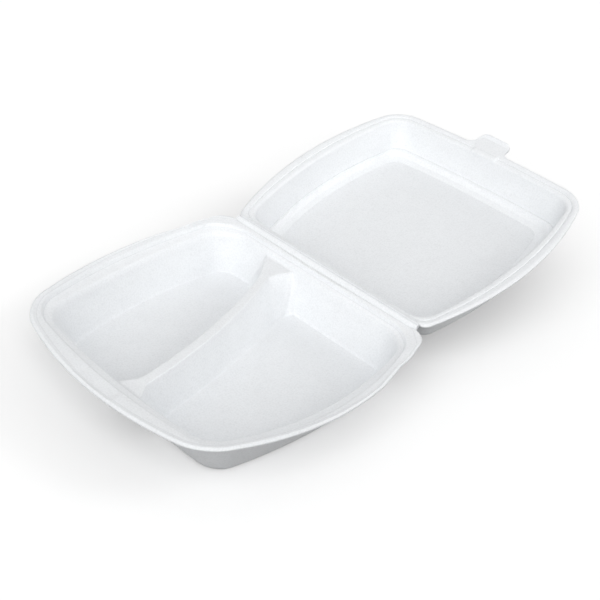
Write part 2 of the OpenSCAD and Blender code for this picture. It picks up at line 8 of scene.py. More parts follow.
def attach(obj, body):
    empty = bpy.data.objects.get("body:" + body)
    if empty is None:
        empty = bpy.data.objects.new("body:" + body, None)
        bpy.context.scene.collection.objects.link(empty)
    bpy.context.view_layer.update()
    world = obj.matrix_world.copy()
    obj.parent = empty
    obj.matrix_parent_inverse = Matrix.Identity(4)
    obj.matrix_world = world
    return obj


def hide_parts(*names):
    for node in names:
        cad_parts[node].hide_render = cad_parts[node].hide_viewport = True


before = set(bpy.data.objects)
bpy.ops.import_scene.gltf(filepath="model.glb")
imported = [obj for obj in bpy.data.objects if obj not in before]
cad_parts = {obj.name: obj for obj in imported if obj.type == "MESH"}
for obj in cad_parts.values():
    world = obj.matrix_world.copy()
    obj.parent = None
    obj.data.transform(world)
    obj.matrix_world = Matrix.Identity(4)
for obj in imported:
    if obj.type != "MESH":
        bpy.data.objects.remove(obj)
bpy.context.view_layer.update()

print("frame loaded")

millimetre = 0.001  # lengths are in millimetres until a mesh is made
hinge = {"height": 43.0, "openDeg": 11.3}
mould = {
    "cornerPoints": 12, "cornerWeight": 0.72,  # each rounded corner of an outline
    "filletSteps": 3, "filletMost": 0.47,  # each rounded edge, and its most as a share of a side
    "panelShares": (0.1, 0.4, 0.7, 0.98),  # loops that close a floor
}
corner = mould["cornerPoints"]


def unit(v):
    return v / np.maximum(np.linalg.norm(v, axis=-1, keepdims=True), 1e-9)


def lerp(a, b, t):
    return a + (b - a) * t


def bowed(a, b, bow, u):
    u = np.asarray(u, float)[:, None]
    d = unit(b - a)
    return a + (b - a) * u + np.array([d[1], -d[0]]) * bow * 4 * u * (1 - u)


def bowedDir(a, b, bow, u):
    d = unit(b - a)
    u = np.asarray(u, float)[:, None]
    return unit(b - a + np.array([d[1], -d[0]]) * bow * 4 * (1 - 2 * u))


def cross2(a, b):
    return a[0] * b[1] - a[1] * b[0]


def outline(corners, bows, cuts, shares, counts):
    # closed line through four corners with bowed sides and rounded corners
    pts = [np.array(p, float) for p in corners]
    weight = mould["cornerWeight"]
    out = []
    for k in range(4):
        a, b, c = pts[k], pts[(k + 1) % 4], pts[(k + 2) % 4]
        u0 = cuts[k] / np.linalg.norm(b - a)
        u1 = 1 - cuts[(k + 1) % 4] / np.linalg.norm(b - a)
        v0 = cuts[(k + 1) % 4] / np.linalg.norm(c - b)
        nextBow = bows[(k + 1) % 4]
        out.append(bowed(a, b, bows[k], u0 + (u1 - u0) * np.asarray(shares[k])))
        if counts[k]:
            p, q = bowed(a, b, bows[k], [u1])[0], bowed(b, c, nextBow, [v0])[0]
            d, e = bowedDir(a, b, bows[k], [u1])[0], bowedDir(b, c, nextBow, [v0])[0]
            m = p + d * (cross2(q - p, e) / cross2(d, e))
            t = (np.arange(1, counts[k] + 1) / (counts[k] + 1))[:, None]
            den = (1 - t) ** 2 + 2 * weight * t * (1 - t) + t * t
            out.append((p * (1 - t) ** 2 + m * 2 * weight * t * (1 - t) + q * t * t) / den)
    return np.vstack(out)


def lift(xy, z):
    return np.column_stack([xy, np.broadcast_to(z, len(xy))])


def inset(ring, share):
    return lerp(ring, ring.mean(axis=0), share)


def under(p, a, b, thick):
    # point a thickness below p, square to the sheet between a and b
    d = unit(p - a) + unit(b - p)
    flat = np.linalg.norm(d[:, :2], axis=1)
    full = np.linalg.norm(d, axis=1)
    e = d[:, :2] / np.maximum(flat, full / 1000)[:, None]
    return np.column_stack([p[:, :2] + e * (d[:, 2] / full * thick)[:, None], p[:, 2] - flat / full * thick])


def rounded(rings, radii, steps=mould["filletSteps"]):
    # the same sheet with the edge at each inner ring rounded over
    out = [rings[0]]
    for k in range(1, len(rings) - 1):
        p = rings[k]
        a, b = rings[k - 1] - p, rings[k + 1] - p
        la, lb = (np.maximum(np.linalg.norm(v, axis=1, keepdims=True), 1e-6) for v in (a, b))
        d = np.minimum(radii[k], mould["filletMost"] * np.minimum(la, lb))
        u, v = p + a / la * d, p + b / lb * d
        for s in np.linspace(0, 1, steps + 1):
            out.append(u * (1 - s) ** 2 + p * 2 * s * (1 - s) + v * s * s)
    return out + [rings[-1]]


def filletRows(ids, at):
    # the rows that the rounded edge at one ring of a stack became
    last = (mould["filletSteps"] + 1) * at
    return ids[last - mould["filletSteps"]:last + 1]


class Shell:
    # points and faces of one closed sheet

    def __init__(self):
        self.points, self.faces, self.paintedShade = [], [], {}

    def ring(self, pts):
        at = sum(len(p) for p in self.points)
        self.points.append(np.asarray(pts, float).reshape(-1, 3))
        return list(range(at, at + len(self.points[-1])))

    def paintShade(self, ids, weight=1.0):
        # painted shade: how much the colour is darkened there
        self.paintedShade.update((i, weight) for i in ids)

    def squeeze(self, ids, at, weight):
        # painted shade in a crease: darkens the middle of the rounded edge at one ring
        for row in filletRows(ids, at)[1:-1]:
            self.paintShade(row, weight)

    def face(self, ids, flip=False):
        self.faces.append(ids[::-1] if flip else ids)

    def strip(self, a, b, flip=False):
        n = len(a)
        for i in range(n):
            j = (i + 1) % n
            self.face([a[i], a[j], b[j], b[i]], flip)

    def sheet(self, rings, radii):
        ids = [self.ring(r) for r in rounded(rings, radii)]
        for a, b in zip(ids, ids[1:]):
            self.strip(a, b)
        return ids

    def fill(self, loop, flip=False):
        # closes a loop with smaller loops round its middle
        pts = np.vstack(self.points)[loop]
        for share in mould["panelShares"]:
            inner = self.ring(inset(pts, share))
            # painted shade on the loops of a floor's top side
            self.paintShade([] if flip else inner)
            self.strip(loop, inner, flip)
            loop = inner
        self.face(loop, flip)

    def mesh(self, name, place):
        pts = np.vstack(self.points) * millimetre
        data = bpy.data.meshes.new(name)
        data.from_pydata([place @ Vector(p) for p in pts], [], self.faces)
        # painted shade: a darkening weight for each point, read by the foam material
        shadeWeights = np.zeros(len(pts))
        shadeWeights[list(self.paintedShade)] = list(self.paintedShade.values())
        data.attributes.new("paintedShade", "FLOAT", "POINT").data.foreach_set("value", shadeWeights)
        bm = bmesh.new()
        bm.from_mesh(data)
        bmesh.ops.recalc_face_normals(bm, faces=bm.faces)
        for f in bm.faces:
            f.smooth = True
        bm.to_mesh(data)
        bm.free()
        obj = bpy.data.objects.new(name, data)
        bpy.context.collection.objects.link(obj)
        return obj


def spread(count, *marks, apart=0.4):
    # even shares with the marked ones kept exactly
    even = np.linspace(0, 1, count)
    kept = [s for s in even if all(abs(s - m) > apart / count for m in marks)]
    return np.array(sorted(kept + list(marks)))


def spreadPast(count, land, *marks):
    # the same, with only the land's own points between its ends
    shares = spread(count, *marks, *land)
    return shares[(shares <= land[0]) | (shares >= land[-1]) | np.isin(shares, land)]


# the tray: half widths at front and back, then the front and back edges
tray = {
    "lip": [93.9, 104.1, 203.7, 2.9], "lipBows": [20.8, 17.1], "lipCuts": [9.5, 17.8],
    "riser": [90.5, 98, 197, 8], "riserBows": [18.4, 8.6],
    "well": [85, 94.5, 191.5, 10.6], "wellBows": [13.6, 5.6], "wellCuts": [22, 16],
    "sidePoints": 73, "frontPoints": 81, "backPoints": 49, "frontKept": [0.36, 0.385],
    "notch": 3.4, "notchShares": [0.09, 0.146, 0.3], "notchPower": 1.6, "beadFade": [0.13, 0.36],
    "earDrops": [0.8, 0.25, 0.6, 1], "earThick": 1.6, "lipThick": 2.1, "thick": 3, "dip": 4.4,
    "lipInsets": [0.9, 2.2, 3.8, 4.8], "lipDrops": [0.8, 0.25, 1.1, 1.3],
    "lipReach": [0.15, 0.35, 0.6, 0.75],
    "rimDrops": [2, 4.9, 5.5, 6.5, 8, 10], "rimShares": [0.97, 1.12, 1.27, 1.84, 1.97],
    "mouthInset": 0.9, "seatDrop": 0.9, "seat": [0.385, 0.615], "depth": 40, "footOut": 0.55,
    # the fold, turned about the hinge, with its groove where the reach is short
    "bead": 2.2, "groove": 1.9, "grooveBelow": 0.5, "edgeTurn": 70,
    "foldTurns": [150, 128, 112, 99, 81, 66, 46, 18, -15, -50, -85, -120],
    "foldReach": [0.86, 0.84, 0.78, 0.3, 0.3, 0.95, 1, 0.95, 0.97, 1, 1, 1],
    # walls and floors
    "wallRun": [0.05, 0.12, 0.86, 0.93, 1], "wallFall": [0.06, 0.16, 0.92, 0.98, 1],
    "smallFloor": [(-55, -19.5), (-87, -19.5), (-78.5, -178), (-7, -179)],
    "largeFloor": [(21, -179), (78.5, -178), (87, -19.5), (-12.5, -19.5)],
    "smallBows": [0, 8.4, 1.5, 9], "largeBows": [1.5, 8.4, 0, -4.3],
    "floorCuts": [5, 12, 12, 5], "floorInset": 0.12,
    # the divider's land, with each flare's start, run and power
    "landFront": [0.49, 0.511, 0.532, 0.553, 0.574, 0.595, 0.615, 0.6275, 0.64, 0.654, 0.668],
    "landBack": [0.619, 0.845], "landRun": 0.2,
    "dividerBack": (-38, -14), "dividerFront": (11, -188), "dividerBow": 8.7,
    "chainBack": [0.012, 0.03, 0.05], "chainMid": (0.08, 0.93, 52), "chainFront": [0.95, 0.975, 0.99],
    "landHalves": [4.1, 3.2], "backFlares": [5, 13.9], "frontFlares": [2.5, 0.8],
    "smallFlare": (0, 0.16, 2), "largeFlare": (0.03, 0.085, 1.4), "frontFlare": (0, 0.08, 2),
    # edge radii, and the creases that get painted shade
    "underRadius": 2, "edgeRadius": 0.35, "mouthRadii": [1.2, 2.4], "wellRadii": [1.2, 2, 2, 1, 1],
    "rimRadii": [0.3, 0.9, 0.5, 0.4, 0.9, 0.4, 0.5, 0.9, 0.6, 0],
    "shadedCreases": [3, 5], "rimCreaseShade": 3, "foldCreaseShade": 6,
}
sideShares = spread(tray["sidePoints"], *tray["notchShares"])
landFront = tray["landFront"]
landBack = np.linspace(*tray["landBack"], len(landFront))
frontShares = spreadPast(tray["frontPoints"], landFront, *tray["frontKept"])
backShares = spreadPast(tray["backPoints"], landBack)
trayShares = [sideShares, frontShares, 1 - sideShares[::-1], backShares]
frontAt = len(sideShares) + corner
backAt = frontAt + len(frontShares) + corner + len(sideShares) + corner
trayCount = backAt + len(backShares) + corner


def trayLine(sizes, bows, cuts):
    fh, bh, fy, by = sizes
    return outline([(-bh, -by), (-fh, -fy), (fh, -fy), (bh, -by)], [bows[0], bows[1], bows[0], 0],
                   [cuts[0], cuts[1], cuts[1], cuts[0]], trayShares, [corner] * 4)


def around(side, front, back):
    # a value for each point of the tray's outline
    corners = [np.full(corner, front)] * 2 + [np.full(corner, back)] * 2
    runs = [side, frontShares * 0 + front, side[::-1], backShares * 0 + back]
    return np.concatenate([part for pair in zip(runs, corners) for part in pair])


plainLine = trayLine(tray["lip"], tray["lipBows"], tray["lipCuts"])
riserLine = trayLine(tray["riser"], tray["riserBows"], tray["wellCuts"])
wellLine = trayLine(tray["well"], tray["wellBows"], tray["wellCuts"])
dips = tray["dip"] * around(4 * sideShares * (1 - sideShares), 0.0, 0.0)
notchFrom, notchPeak, notchTo = tray["notchShares"]
earSide = np.clip((sideShares - notchFrom) / (notchPeak - notchFrom), 0, 1) ** tray["notchPower"]
frontSide = np.clip(1 - (sideShares - notchPeak) / (notchTo - notchPeak), 0, 1)
notch = around(np.where(sideShares < notchPeak, earSide, frontSide), 0.0, 0.0)
fadeFrom, fadeTo = tray["beadFade"]
bead = around(np.clip((sideShares - fadeFrom) / (fadeTo - fadeFrom), 0, 1), 1.0, 0.0)
lipLine = plainLine + unit(riserLine - plainLine) * (tray["notch"] * notch)[:, None]
order = np.arange(trayCount)
onHinge = (order >= backAt) & (order < backAt + len(backShares))
seatFrom, seatTo = tray["seat"]
inSeat = np.zeros(trayCount)
inSeat[frontAt:frontAt + len(frontShares)] = (frontShares >= seatFrom) & (frontShares <= seatTo)

# the stepped rim, from the lip to the mouth of the wells
lipCount = len(tray["lipInsets"])
rimInward = riserLine - lipLine
rimRings = []
for k in range(lipCount):
    reach = np.minimum(tray["lipInsets"][k], np.linalg.norm(rimInward, axis=1) * tray["lipReach"][k])
    drop = lerp(tray["earDrops"][k], tray["lipDrops"][k], bead) + (tray["seatDrop"] * inSeat if k > 1 else 0)
    foldDrop = lerp(tray["groove"], tray["rimDrops"][0] / 2, k / (lipCount - 1))
    drop = np.where(onHinge, foldDrop, drop)
    rimRings.append(lift(lipLine + unit(rimInward) * reach[:, None], -drop - dips))
for k, share in enumerate(tray["rimShares"]):
    a, b, t = (lipLine, riserLine, share) if share < 1 else (riserLine, wellLine, share - 1)
    drop = tray["rimDrops"][k] + (tray["seatDrop"] / 2 * inSeat if k == 0 else 0)
    rimRings.append(lift(lerp(a, b, t), -drop - dips))
mouthDrop = tray["rimDrops"][-1]
mouth = lift(wellLine + unit(wellLine - riserLine) * tray["mouthInset"], -mouthDrop - dips)
rimRings.append(mouth)


def flare(at, start, run, power):
    # 1 at the rim, falling to 0 along the land
    return np.clip(1 - (at - start) / run, 0, 1) ** power


# the divider's land, from back to front
chain = np.concatenate([tray["chainBack"], np.linspace(*tray["chainMid"]), tray["chainFront"]])
backPt, frontPt = np.array(tray["dividerBack"], float), np.array(tray["dividerFront"], float)
midLine = bowed(frontPt, backPt, tray["dividerBow"], 1 - chain)
midDir = bowedDir(frontPt, backPt, tray["dividerBow"], 1 - chain)
midNormal = np.column_stack([midDir[:, 1], -midDir[:, 0]])
frontFlare = flare(1 - chain, *tray["frontFlare"])
frontMarks = [int(np.argmin(abs(frontShares - s))) for s in (landFront[0], landFront[-1])]
backMarks = [int(np.argmin(abs(backShares - s))) for s in (landBack[0], landBack[-1])]
smallFirst, smallLast = backAt + backMarks[1], frontAt + frontMarks[0]
largeFirst, largeLast = frontAt + frontMarks[1], backAt + backMarks[0]


def landEdge(k, sign, backFlare, backId, frontId):
    half = tray["landHalves"][k] + tray["backFlares"][k] * backFlare + tray["frontFlares"][k] * frontFlare
    edge = lift(midLine + midNormal * (sign * half)[:, None], -mouthDrop)
    edge[0] = lerp(mouth[backId], edge[1], tray["landRun"])
    edge[-1] = lerp(mouth[frontId], edge[-2], tray["landRun"])
    return edge


smallEdge = landEdge(0, -1, flare(chain, *tray["smallFlare"]), smallFirst, smallLast)
largeEdge = landEdge(1, 1, flare(chain, *tray["largeFlare"]), largeLast, largeFirst)
landMid = (smallEdge + largeEdge) / 2

# the two wells
smallIds = [i % trayCount for i in range(smallFirst, trayCount + smallLast + 1)]
largeIds = list(range(largeFirst, largeLast + 1))
smallBack, smallFront = backShares[backMarks[1]], frontShares[frontMarks[0]]
largeBack, largeFront = backShares[backMarks[0]], frontShares[frontMarks[1]]
smallShares = [
    (backShares[backMarks[1]:] - smallBack) / (1 - smallBack), trayShares[0],
    frontShares[:frontMarks[0] + 1] / smallFront, 1 - chain[::-1],
]
largeShares = [
    (frontShares[frontMarks[1]:] - largeFront) / (1 - largeFront), trayShares[2],
    backShares[:backMarks[0] + 1] / largeBack, chain,
]
floorCorners = [corner, corner, 0, 0]
smallFloor = outline(tray["smallFloor"], tray["smallBows"], tray["floorCuts"], smallShares, floorCorners)
largeFloor = outline(tray["largeFloor"], tray["largeBows"], tray["floorCuts"], largeShares, floorCorners)


def wellRings(ids, edge, floorLine):
    top = np.vstack([mouth[ids], edge])
    rings = [top]
    for run, fall in zip(tray["wallRun"], tray["wallFall"]):
        rings.append(lift(lerp(top[:, :2], floorLine, run), lerp(top[:, 2], -tray["depth"], fall)))
    return rings


def wellUnders(rings, before):
    out = []
    for k, p in enumerate(rings):
        if k == 0:
            gap = before - p
            a = p + gap * np.minimum(1, tray["mouthInset"] / np.linalg.norm(gap, axis=1))[:, None]
        else:
            a = rings[k - 1]
        if k == len(rings) - 1:
            outside = unit(a[:, :2] - p[:, :2]) * tray["thick"] * tray["footOut"]
            out.append(np.column_stack([p[:, :2] + outside, p[:, 2] - tray["thick"]]))
            continue
        gap = rings[k + 1] - p
        most = np.linalg.norm(p - a, axis=1) / np.linalg.norm(gap, axis=1)
        out.append(under(p, a, p + gap * np.minimum(1, most)[:, None], tray["thick"]))
    return out


def wellSkin(ids, mid, rings, mouthRadius):
    before = np.vstack([rimRings[-2][ids], mid])
    radii = [0, mouthRadius, *tray["wellRadii"], 0]
    return rounded([before, *rings, inset(rings[-1], tray["floorInset"])], radii)[1:]


smallRings = wellRings(smallIds, smallEdge[::-1], smallFloor)
largeRings = wellRings(largeIds, largeEdge, largeFloor)
smallUnders = wellUnders(smallRings, np.vstack([rimRings[-2][smallIds], largeEdge[::-1]]))
largeUnders = wellUnders(largeRings, np.vstack([rimRings[-2][largeIds], smallEdge]))
smallSkin = wellSkin(smallIds, landMid[::-1], smallRings, tray["mouthRadii"][0])
largeSkin = wellSkin(largeIds, landMid, largeRings, tray["mouthRadii"][1])

# the rim's underside, its outer edge and the fold
rimUnders = []
edgeThick = lerp(tray["earThick"], tray["lipThick"], bead)
for k, p in enumerate(rimRings[:-1]):
    if k < lipCount:
        rimUnders.append(p - np.outer(lerp(edgeThick, tray["thick"], k / lipCount), [0, 0, 1]))
    else:
        rimUnders.append(under(p, rimRings[k - 1], rimRings[k + 1], tray["thick"]))
topEnd, underEnd = mouth.copy(), mouth - [0, 0, tray["thick"]]
for wellIds, skin, unders in ((smallIds, smallSkin, smallUnders), (largeIds, largeSkin, largeUnders)):
    topEnd[wellIds] = skin[0][:len(wellIds)]
    underEnd[wellIds] = unders[0][:len(wellIds)]

outward = unit(lipLine - riserLine)
edgeMid = (rimRings[0] + rimUnders[0]) / 2
halfThick = (rimRings[0][:, 2] - rimUnders[0][:, 2]) / 2
foldTurns = np.radians(tray["foldTurns"])
edgeTurns = np.radians(np.linspace(tray["edgeTurn"], -tray["edgeTurn"], len(foldTurns)))
edgeRings = []
for foldTurn, foldReach, edgeTurn in zip(foldTurns, tray["foldReach"], edgeTurns):
    edgeOut = outward * tray["lipInsets"][0] * math.cos(edgeTurn)
    plain = lift(edgeMid[:, :2] + edgeOut, edgeMid[:, 2] + halfThick * math.sin(edgeTurn))
    foldY = np.full(trayCount, tray["bead"] * foldReach * math.cos(foldTurn))
    foldZ = np.full(trayCount, tray["bead"] * foldReach * math.sin(foldTurn))
    fold = np.column_stack([rimRings[0][:, 0], foldY, foldZ])
    edgeRings.append(np.where(onHinge[:, None], fold, plain))

trayShell = Shell()
trayStack = [underEnd] + rimUnders[::-1] + edgeRings[::-1] + rimRings[:-1] + [topEnd]
trayRadii = [0] + [tray["underRadius"]] * len(rimUnders) + [tray["edgeRadius"]] * len(edgeRings)
trayIds = trayShell.sheet(trayStack, trayRadii + tray["rimRadii"])
edgeAt = 1 + len(rimUnders)
# painted shade in two of the rim's creases and in the fold's groove
for k in tray["shadedCreases"]:
    trayShell.squeeze(trayIds, edgeAt + len(edgeRings) + k, tray["rimCreaseShade"])
for k, foldReach in enumerate(tray["foldReach"][::-1]):
    if foldReach < tray["grooveBelow"]:
        for row in filletRows(trayIds, edgeAt + k):
            trayShell.paintShade([i for i, onFold in zip(row, onHinge) if onFold], tray["foldCreaseShade"])


def wells(shell, ring, smallStack, largeStack, flip):
    # the divider's land, the walls and the floors
    small = [ring[i] for i in smallIds] + shell.ring(smallStack[0][len(smallIds):])
    large = [ring[i] for i in largeIds] + shell.ring(largeStack[0][len(largeIds):])
    rows = [[ring[i] for i in range(largeLast, smallFirst + 1)]]
    pts = np.vstack(shell.points)
    steps = np.linspace(0, 1, len(rows[0]))[1:-1, None]
    for a, b in zip(large[len(largeIds):], small[len(smallIds):][::-1]):
        rows.append([a] + shell.ring(lerp(pts[a], pts[b], steps)) + [b])
    rows.append([ring[i] for i in range(largeFirst, smallLast - 1, -1)])
    for upper, lower in zip(rows, rows[1:]):
        for k in range(len(upper) - 1):
            shell.face([upper[k], upper[k + 1], lower[k + 1], lower[k]], flip)
    for loop, stack in ((small, smallStack), (large, largeStack)):
        for wall in stack[1:]:
            inner = shell.ring(wall)
            shell.strip(loop, inner, flip)
            loop = inner
        # painted shade on the foot of the wall, and through fill on the floor's top side
        shell.paintShade([] if flip else range(loop[0] - len(loop), loop[-1] + 1))
        shell.fill(loop, flip)


wells(trayShell, trayIds[-1], smallSkin, largeSkin, False)
wells(trayShell, trayIds[0], smallUnders, largeUnders, True)
rise = Matrix.Translation((0, 0, hinge["height"] * millimetre))
trayMesh = trayShell.mesh("tray_shell", rise)
print("tray built", len(trayMesh.data.polygons))

# the lid, in its own plane and then turned open: half widths at back and front, then the edges
lid = {
    "lip": [97.9, 98.3, 2.8, 206.5], "lipBows": [19.4, 4.4], "lipCuts": [5, 17.6],
    "lines": [[90.5, 92, 8.5, 197], [85.5, 86.5, 15.5, 189.8], [67.5, 68.5, 34, 165.5]],
    "lineBows": [(12.5, 3), (12.8, 2.8), (8.6, 3.5)], "lineCuts": [14, 9, 8],
    "sidePoints": 49, "plainShares": (0, 0.345, 24), "tabSpread": (0.36, 0.64),
    "lipInsets": [0.8, 2.2, 4], "lipReach": [0.12, 0.28, 0.42], "lipDrops": [0.9, 0.3, 0.5],
    "rimShares": [0.49, 0.54, 0.6, 0.87, 1], "rimDrops": [1.1, 2.1, 1.4, 1.9, 3.5],
    "backDrops": [1.6, 1.8, 2, 2.6, 3.6], "ridgeDrop": 1.5, "thick": 1.8, "plainUnders": 7,
    "wallShares": [0.05, 0.94, 1, 1.11, 1.15, 1.28, 1.32, 1.49, 1.525, 2],
    "wallDrops": [5.4, 25.7, 26.8, 26.2, 26.5, 29.5, 29.8, 30.3, 30.75, 30.4],
    "edgeTurns": [-60, -40, -20, 0, 20, 40, 60], "panelInset": 0.1,
    # the tab and the bridge behind it
    "tabHalves": [22, 18.85, 16.46, 15.7, 14.65, 11.5, 0],
    "tabShares": [0, 0.06, 0.24, 0.68, 0.9, 0.99, 1], "tabRadii": [0, 2, 2, 3, 3, 2, 0], "tabSteps": 4,
    "tabLen": 14.8, "tabLift": 3.3, "liftPower": 8, "liftShares": [1, 0.5, 0], "tabShift": -3,
    "bridgeHalf": 12.5, "hold": [0, 0, 0, 0.1, 0.55],
    # edge radii, and the creases that get painted shade
    "underRadius": 1.5, "edgeRadius": 0.4,
    "rimRadii": [0.4, 0.8, 0.6, 0.3, 0.3, 0.6, 0.8, 0.9, 0.6, 0.7, 0.7, 0.9, 0.9, 0.6, 0.8, 0.35, 0.35, 4, 0],
    "shadedCreases": [4, 10], "squeeze": 2.5,
}
tabPath = [np.array([[h, s * lid["tabLen"], 0]]) for h, s in zip(lid["tabHalves"], lid["tabShares"])]
tabHalf = np.vstack(rounded(tabPath, lid["tabRadii"], lid["tabSteps"]))[:, :2]
tabSide = np.vstack([tabHalf, (tabHalf * [-1, 1])[-2::-1]])
plainShares = np.linspace(*lid["plainShares"])
tabSpread = np.linspace(*lid["tabSpread"], len(tabSide))
lidSide = np.linspace(0, 1, lid["sidePoints"])
lidShares = [lidSide, np.concatenate([plainShares, tabSpread, 1 - plainShares[::-1]]), lidSide, lidSide]
tabAt = len(lidSide) + corner + len(plainShares)


def lidLine(sizes, bows, cuts):
    bh, fh, by, fy = sizes
    return outline([(bh, by), (fh, fy), (-fh, fy), (-bh, by)], [bows[0], bows[1], bows[0], 0],
                   [cuts[0], cuts[1], cuts[1], cuts[0]], lidShares, [corner] * 4)


lidPlain = lidLine(lid["lip"], lid["lipBows"], lid["lipCuts"])
lidLines = [lidLine(z, b, [c, c]) for z, b, c in zip(lid["lines"], lid["lineBows"], lid["lineCuts"])]
lidCount = len(lidPlain)
tabIds = np.arange(tabAt, tabAt + len(tabSide))
lidLip = lidPlain.copy()
lidLip[tabIds, 0] = lid["tabShift"] + tabSide[:, 0]
lidLip[tabIds, 1] += tabSide[:, 1]
tabRise = np.zeros(lidCount)
tabRise[tabIds] = lid["tabLift"] * (tabSide[:, 1] / lid["tabLen"]) ** lid["liftPower"]
onBridge = np.zeros(lidCount, bool)
onBridge[tabIds] = abs(lidLines[0][tabIds, 0]) < lid["bridgeHalf"]
onBack = np.zeros(lidCount, bool)
onBack[lidCount - corner - len(lidSide):lidCount - corner] = True

lidRings = []
lidInward = lidLines[0] - lidLip
lastLip = len(lid["lipInsets"]) - 1
for k, lipDrop in enumerate(lid["lipDrops"]):
    reach = np.minimum(lid["lipInsets"][k], np.linalg.norm(lidInward, axis=1) * lid["lipReach"][k])
    drop = np.where(onBack, lid["ridgeDrop"], lipDrop) if k == lastLip else lipDrop
    lidRings.append(lift(lidLip + unit(lidInward) * reach[:, None], tabRise * lid["liftShares"][k] - drop))
for k, share in enumerate(lid["rimShares"]):
    held = lerp(lid["lipDrops"][lastLip], lid["rimDrops"][k], lid["hold"][k])
    drop = np.where(onBridge, held, np.where(onBack, lid["backDrops"][k], lid["rimDrops"][k]))
    lidRings.append(lift(lerp(lidPlain, lidLines[0], share), -drop))
for share, drop in zip(lid["wallShares"], lid["wallDrops"]):
    k = 0 if share <= 1 else 1
    lidRings.append(lift(lerp(lidLines[k], lidLines[k + 1], share - k), -drop))
lidUnders = []
for k, p in enumerate(lidRings):
    if k < lid["plainUnders"] or k == len(lidRings) - 1:
        lidUnders.append(p - [0, 0, lid["thick"]])
    else:
        lidUnders.append(under(p, lidRings[k - 1], lidRings[k + 1], lid["thick"]))
lidMid = (lidRings[0] + lidUnders[0]) / 2
lidEdges = []
for edgeTurn in np.radians(lid["edgeTurns"]):
    edgeLine = lerp(lidMid[:, :2], lidLip, math.cos(edgeTurn))
    lidEdges.append(lift(edgeLine, lidMid[:, 2] + lid["thick"] / 2 * math.sin(edgeTurn)))

lidShell = Shell()
lidTop, lidBottom = (inset(rings[-1], lid["panelInset"]) for rings in (lidRings, lidUnders))
lidStack = [lidBottom] + lidUnders[::-1] + lidEdges + lidRings + [lidTop]
lidRadii = [0] + [lid["underRadius"]] * len(lidUnders) + [lid["edgeRadius"]] * len(lidEdges)
lidIds = lidShell.sheet(lidStack, lidRadii + lid["rimRadii"])
panelRows = 2 * (mould["filletSteps"] + 1) + 1  # the last two rounded edges and the panel's loop
# painted shade on the lid's panel and the two rounded edges round it
for ring in lidIds[-panelRows:]:
    lidShell.paintShade(ring)
lidRimAt = 1 + len(lidUnders) + len(lidEdges)
# painted shade in two of the lid rim's creases
for k in lid["shadedCreases"]:
    lidShell.squeeze(lidIds, lidRimAt + k, lid["squeeze"])
lidShell.fill(lidIds[-1])
lidShell.fill(lidIds[0], True)
lidMesh = lidShell.mesh("lid_shell", rise @ Matrix.Rotation(math.radians(hinge["openDeg"]), 4, "X"))
print("lid built", len(lidMesh.data.polygons))


def wire(tree, a, aOut, b, bIn):
    tree.links.new(a.outputs[aOut], b.inputs[bIn])


def node(tree, kind, **values):
    made = tree.nodes.new(kind)
    for key, value in values.items():
        if hasattr(made, key):
            setattr(made, key, value)
        else:
            made.inputs[key.replace("_", " ")].default_value = value
    return made


def combine(tree, operation, *inputs):
    # a Math node fed by plain numbers, or by a node and its output
    made = node(tree, "ShaderNodeMath", operation=operation)
    for k, value in enumerate(inputs):
        if isinstance(value, tuple):
            wire(tree, *value, made, k)
        else:
            made.inputs[k].default_value = value
    return made


# foam cells, shared by both materials
cellLook = {"patchScale": 60.0, "patchDetail": 4.0, "patchShare": 0.4, "darkFrom": 0.3, "darkTo": 1.0}


def foamCells(look):
    group = bpy.data.node_groups.new("foamCells", "ShaderNodeTree")
    for name in ("Scale", "Mottle", "Roughness", "Shade"):
        group.interface.new_socket(name=name, in_out="INPUT", socket_type="NodeSocketFloat")
    group.interface.new_socket(name="Tint", in_out="INPUT", socket_type="NodeSocketColor")
    for name, kind in (("Color", "Color"), ("Roughness", "Float"), ("Height", "Float")):
        group.interface.new_socket(name=name, in_out="OUTPUT", socket_type="NodeSocket" + kind)
    gin, gout = node(group, "NodeGroupInput"), node(group, "NodeGroupOutput")
    coord = node(group, "ShaderNodeTexCoord")
    beads = node(group, "ShaderNodeTexVoronoi", feature="SMOOTH_F1")
    wire(group, coord, "Object", beads, "Vector")
    wire(group, gin, "Scale", beads, "Scale")
    patches = node(group, "ShaderNodeTexNoise", Scale=look["patchScale"], Detail=look["patchDetail"])
    wire(group, coord, "Object", patches, "Vector")
    height = combine(group, "MULTIPLY_ADD", (patches, 0), look["patchShare"], (beads, "Distance"))
    dark = node(group, "ShaderNodeMapRange", From_Min=look["darkFrom"], From_Max=look["darkTo"])
    wire(group, height, 0, dark, "Value")
    mottle = combine(group, "MULTIPLY", (dark, "Result"), (gin, "Mottle"))
    # painted shade: darkens the points marked on floors, the lid's panel and creases
    paintedShade = node(group, "ShaderNodeAttribute", attribute_name="paintedShade")
    shade = combine(group, "MULTIPLY", (paintedShade, "Fac"), (gin, "Shade"))
    lost = combine(group, "ADD", (mottle, 0), (shade, 0))
    left = combine(group, "SUBTRACT", 1.0, (lost, 0))
    tinted = node(group, "ShaderNodeVectorMath", operation="SCALE")
    wire(group, gin, "Tint", tinted, 0)
    wire(group, left, 0, tinted, "Scale")
    rough = combine(group, "ADD", (gin, "Roughness"), (mottle, 0))
    wire(group, tinted, 0, gout, "Color")
    wire(group, rough, 0, gout, "Roughness")
    wire(group, height, 0, gout, "Height")
    return group


foamLook = {
    "tint": (0.915, 0.932, 0.95), "scale": 900.0, "mottle": 0.09, "roughness": 0.36, "specular": 0.42,
    "bump": 0.25, "relief": 0.0003, "glow": 0.15, "glowDepth": 0.002,
    # painted shade on the marked floors, panel and creases, for each material
    "paintedShade": {"tray_foam": 0.03, "lid_foam": 0.05},
}
cells = foamCells(cellLook)


